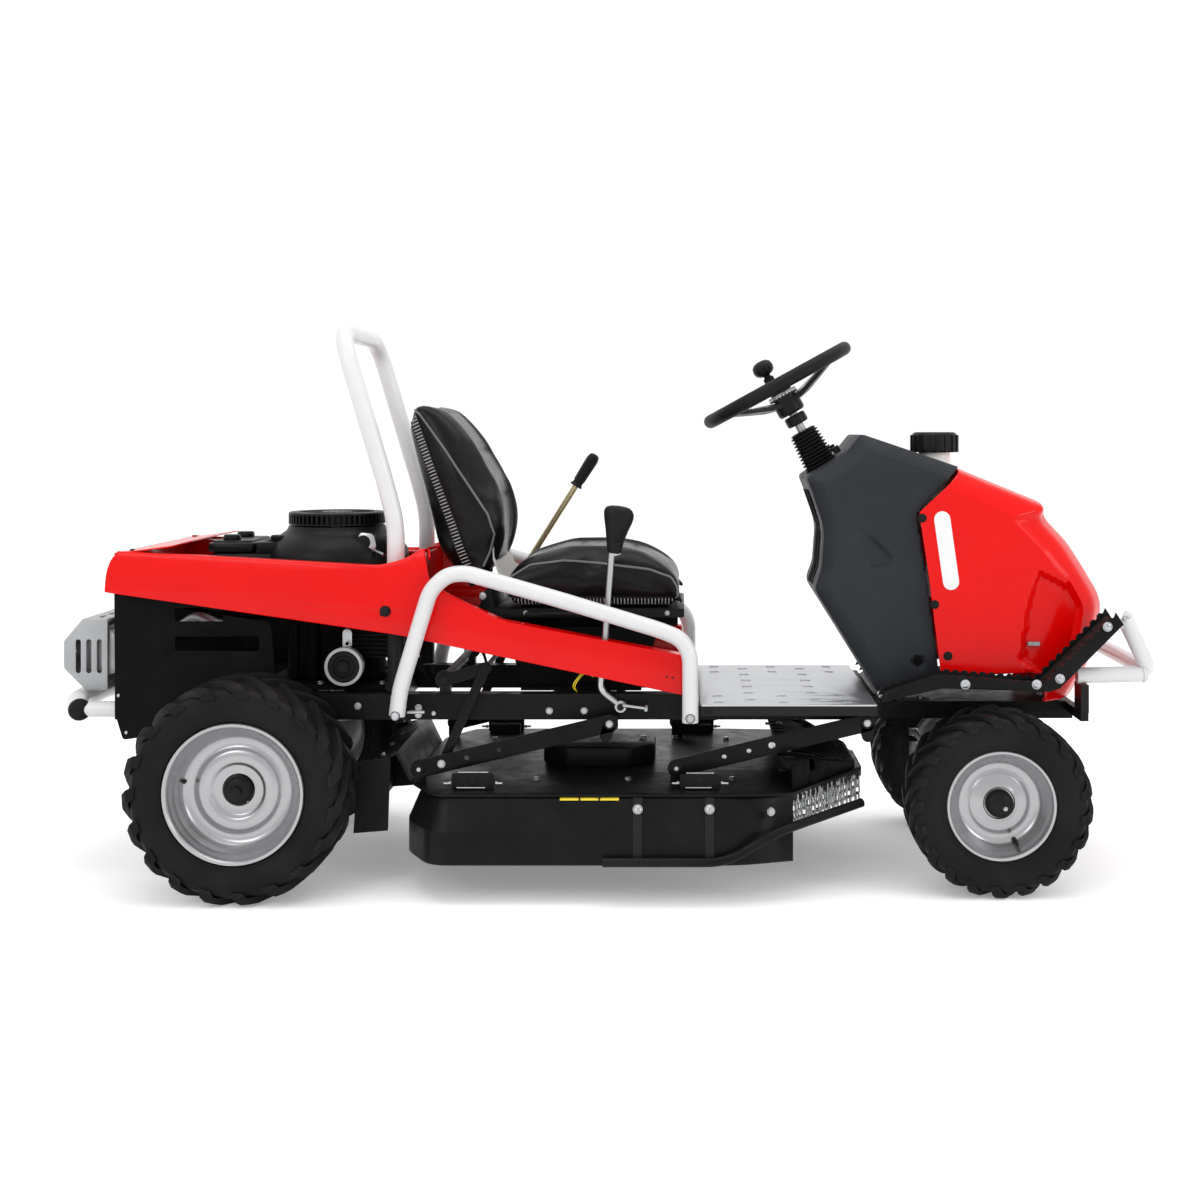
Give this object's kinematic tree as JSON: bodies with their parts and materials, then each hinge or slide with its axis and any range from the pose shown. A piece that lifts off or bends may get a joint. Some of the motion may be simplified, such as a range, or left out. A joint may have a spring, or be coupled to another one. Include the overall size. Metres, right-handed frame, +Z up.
{
  "type": "brush mower",
  "caption": "Ride-on brush mower: open rear engine under a roll-over hoop, padded seat, wheel steering, and a wide cutter deck that lifts on parallel arms under the middle.",
  "frame": {"origin": "On the ground, below the middle of the object's box.", "axes": "+X points to the front of the machine, +Y to its left, +Z up."},
  "size_m": [2.5617, 0.94, 1.2884],
  "materials": {
    "red_paint": "gloss red paint",
    "black_paint": "satin black powder coat",
    "white_paint": "satin white powder coat on steel tube",
    "grey_paint": "light grey paint",
    "silver_rim": "silver wheel paint",
    "dark_plastic": "dark grey moulded plastic, fine grain",
    "clear_plastic": "translucent off-white blow-moulded plastic",
    "black_rubber": "matt black rubber",
    "tyre_rubber": "black tyre rubber",
    "seat_vinyl": "black grained vinyl",
    "zinc_steel": "yellowish zinc plated steel",
    "bare_steel": "bare steel",
    "cast_alloy": "cast aluminium",
    "tread_plate": "brushed aluminium plate"
  },
  "bodies": {
    "chassis": {"chassis_frame": "black_paint", "tail_shell": "red_paint", "rear_side_panel_right": "black_paint", "rear_side_panel_left": "black_paint", "rear_bumper": "white_paint", "muffler": "bare_steel", "muffler_guard": "grey_paint", "engine_block": "cast_alloy", "blower_cover": "dark_plastic", "air_filter_cover": "dark_plastic", "oil_filter": "black_paint", "transaxle": "cast_alloy", "rops_hoop": "white_paint", "side_guard_right": "white_paint", "side_guard_left": "white_paint", "footplate": "tread_plate", "dash_column": "dark_plastic", "nose_hood": "red_paint", "fuel_tank": "clear_plastic", "steering_gear": "cast_alloy", "steering_boot": "black_rubber", "step_right": "black_paint", "step_left": "black_paint", "front_bumper": "white_paint", "seat_support": "black_paint", "battery": "dark_plastic"},
    "engine_crank": {"engine_crank": "bare_steel"},
    "rear_wheel_right": {"rear_tyre_right": "tyre_rubber", "rear_rim_right": "silver_rim"},
    "rear_wheel_left": {"rear_tyre_left": "tyre_rubber", "rear_rim_left": "silver_rim"},
    "front_axle": {"front_axle": "black_paint"},
    "knuckle_right": {"knuckle_right": "cast_alloy"},
    "knuckle_left": {"knuckle_left": "cast_alloy"},
    "front_wheel_right": {"front_tyre_right": "tyre_rubber", "front_rim_right": "silver_rim"},
    "front_wheel_left": {"front_tyre_left": "tyre_rubber", "front_rim_left": "silver_rim"},
    "tie_rod": {"tie_rod": "zinc_steel"},
    "steering_wheel": {"steering_wheel": "dark_plastic"},
    "spinner_knob": {"spinner_knob": "dark_plastic"},
    "seat": {"seat_pan": "black_paint", "seat_cushion": "seat_vinyl", "seat_back": "seat_vinyl"},
    "seat_lever": {"seat_lever": "black_paint"},
    "rear_lift_arms": {"rear_lift_arms": "black_paint"},
    "front_lift_arms": {"front_lift_arms": "black_paint"},
    "lift_lever": {"lift_lever": "zinc_steel"},
    "lift_links": {"lift_links": "bare_steel"},
    "deck": {"deck_shell": "black_paint", "belt_cover": "black_paint"},
    "blade_spindle": {"blade_spindle": "bare_steel"},
    "blade_front": {"blade_front": "bare_steel"},
    "blade_rear": {"blade_rear": "bare_steel"},
    "chain_curtain_right": {"chain_curtain_right": "zinc_steel"},
    "chain_curtain_left": {"chain_curtain_left": "zinc_steel"},
    "rear_flap": {"rear_flap": "black_rubber"},
    "drive_lever": {"drive_lever": "zinc_steel"},
    "fuel_cap": {"fuel_cap": "dark_plastic"},
    "brake_pedal": {"brake_pedal": "black_paint"}
  },
  "joints": [
    {"name": "rear_wheel_right_spin", "type": "hinge", "parent": "chassis", "child": "rear_wheel_right", "pos_m": [-0.794, -0.37, 0.245], "axis": [0, 1, 0], "continuous": true},
    {"name": "rear_wheel_left_spin", "type": "hinge", "parent": "chassis", "child": "rear_wheel_left", "pos_m": [-0.794, 0.37, 0.245], "axis": [0, 1, 0], "continuous": true},
    {"name": "front_axle_oscillation", "type": "hinge", "parent": "chassis", "child": "front_axle", "pos_m": [0.893, 0, 0.3], "axis": [1, 0, 0], "range_deg": [-4, 4]},
    {"name": "steering_turn", "type": "hinge", "parent": "chassis", "child": "steering_wheel", "pos_m": [0.418, 0, 1.149], "axis": [-0.4821, 0, 0.8761], "range_deg": [-270, 270]},
    {"name": "spinner_spin", "type": "hinge", "parent": "steering_wheel", "child": "spinner_knob", "pos_m": [0.418, 0.186, 1.149], "axis": [-0.4821, 0, 0.8761], "continuous": true},
    {"name": "knuckle_right_turn", "type": "hinge", "parent": "front_axle", "child": "knuckle_right", "pos_m": [0.893, -0.215, 0.25], "axis": [0, 0, 1], "range_deg": [-30, 30]},
    {"name": "front_wheel_right_spin", "type": "hinge", "parent": "knuckle_right", "child": "front_wheel_right", "pos_m": [0.893, -0.3225, 0.205], "axis": [0, 1, 0], "continuous": true},
    {"name": "knuckle_left_turn", "type": "hinge", "parent": "front_axle", "child": "knuckle_left", "pos_m": [0.893, 0.215, 0.25], "axis": [0, 0, 1], "range_deg": [-30, 30]},
    {"name": "front_wheel_left_spin", "type": "hinge", "parent": "knuckle_left", "child": "front_wheel_left", "pos_m": [0.893, 0.3225, 0.205], "axis": [0, 1, 0], "continuous": true},
    {"name": "tie_rod_slide", "type": "slide", "parent": "front_axle", "child": "tie_rod", "axis": [0, 1, 0], "range_m": [-0.058, 0.058]},
    {"name": "seat_slide", "type": "slide", "parent": "chassis", "child": "seat", "axis": [1, 0, 0], "range_m": [-0.06, 0.06]},
    {"name": "seat_lever_turn", "type": "hinge", "parent": "seat", "child": "seat_lever", "pos_m": [-0.05, -0.205, 0.61], "axis": [0, 0, 1], "range_deg": [0, 12], "stiffness_Nm_per_rad": 0.5},
    {"name": "deck_lift", "type": "hinge", "parent": "chassis", "child": "rear_lift_arms", "pos_m": [0.02, 0, 0.373], "axis": [0, 1, 0], "range_deg": [0, 5.86]},
    {"name": "deck_level", "type": "hinge", "parent": "rear_lift_arms", "child": "deck", "pos_m": [-0.412, 0, 0.27], "axis": [0, 1, 0], "range_deg": [-6, 0.5]},
    {"name": "front_lift_arms_turn", "type": "hinge", "parent": "chassis", "child": "front_lift_arms", "pos_m": [0.604, 0, 0.375], "axis": [0, 1, 0], "range_deg": [-0.5, 6]},
    {"name": "lift_lever_turn", "type": "hinge", "parent": "chassis", "child": "lift_lever", "pos_m": [-0.361, 0, 0.466], "axis": [0, 1, 0], "range_deg": [-34.5, 0.5]},
    {"name": "lift_link_turn", "type": "hinge", "parent": "lift_lever", "child": "lift_links", "pos_m": [-0.265, 0, 0.4939], "axis": [0, 1, 0], "range_deg": [-0.5, 27.6]},
    {"name": "blade_spin", "type": "hinge", "parent": "deck", "child": "blade_spindle", "pos_m": [-0.02, 0, 0.15], "axis": [0, 0, 1], "continuous": true},
    {"name": "blade_front_swing", "type": "hinge", "parent": "blade_spindle", "child": "blade_front", "pos_m": [0.24, 0, 0.104], "axis": [0, 0, 1], "continuous": true},
    {"name": "blade_rear_swing", "type": "hinge", "parent": "blade_spindle", "child": "blade_rear", "pos_m": [-0.28, 0, 0.104], "axis": [0, 0, 1], "continuous": true},
    {"name": "chain_curtain_right_swing", "type": "hinge", "parent": "deck", "child": "chain_curtain_right", "pos_m": [0.432, -0.392, 0.22], "axis": [0.5215, 0.8533, 0], "range_deg": [-15, 30]},
    {"name": "chain_curtain_left_swing", "type": "hinge", "parent": "deck", "child": "chain_curtain_left", "pos_m": [0.432, 0.392, 0.22], "axis": [0.5215, -0.8533, 0], "range_deg": [-30, 15]},
    {"name": "rear_flap_swing", "type": "hinge", "parent": "deck", "child": "rear_flap", "pos_m": [-0.49, 0, 0.282], "axis": [0, 1, 0], "range_deg": [0, 20]},
    {"name": "engine_turn", "type": "hinge", "parent": "chassis", "child": "engine_crank", "pos_m": [-0.66, 0, 0.5], "axis": [0, 0, 1], "continuous": true},
    {"name": "drive_lever_swing", "type": "hinge", "parent": "chassis", "child": "drive_lever", "pos_m": [0.044, -0.27, 0.406], "axis": [0, 1, 0], "range_deg": [-8, 8]},
    {"name": "fuel_cap_turn", "type": "hinge", "parent": "chassis", "child": "fuel_cap", "pos_m": [0.803, 0, 1], "axis": [0, 0, 1], "range_deg": [0, 120]},
    {"name": "brake_pedal_press", "type": "hinge", "parent": "chassis", "child": "brake_pedal", "pos_m": [0.735, 0.19, 0.605], "axis": [0, 1, 0], "range_deg": [-16, 0], "stiffness_Nm_per_rad": 4, "springref_deg": 8.59}
  ],
  "couplings": [
    {"joint": "knuckle_right_turn", "follows": "steering_turn", "ratio": 0.111},
    {"joint": "knuckle_left_turn", "follows": "steering_turn", "ratio": 0.111},
    {"joint": "tie_rod_slide", "follows": "steering_turn", "m_per_rad": -0.01221},
    {"joint": "deck_level", "follows": "deck_lift", "ratio": -1},
    {"joint": "front_lift_arms_turn", "follows": "deck_lift", "ratio": 1},
    {"joint": "lift_lever_turn", "follows": "deck_lift", "ratio": -5.802},
    {"joint": "lift_link_turn", "follows": "deck_lift", "ratio": 4.687}
  ]
}
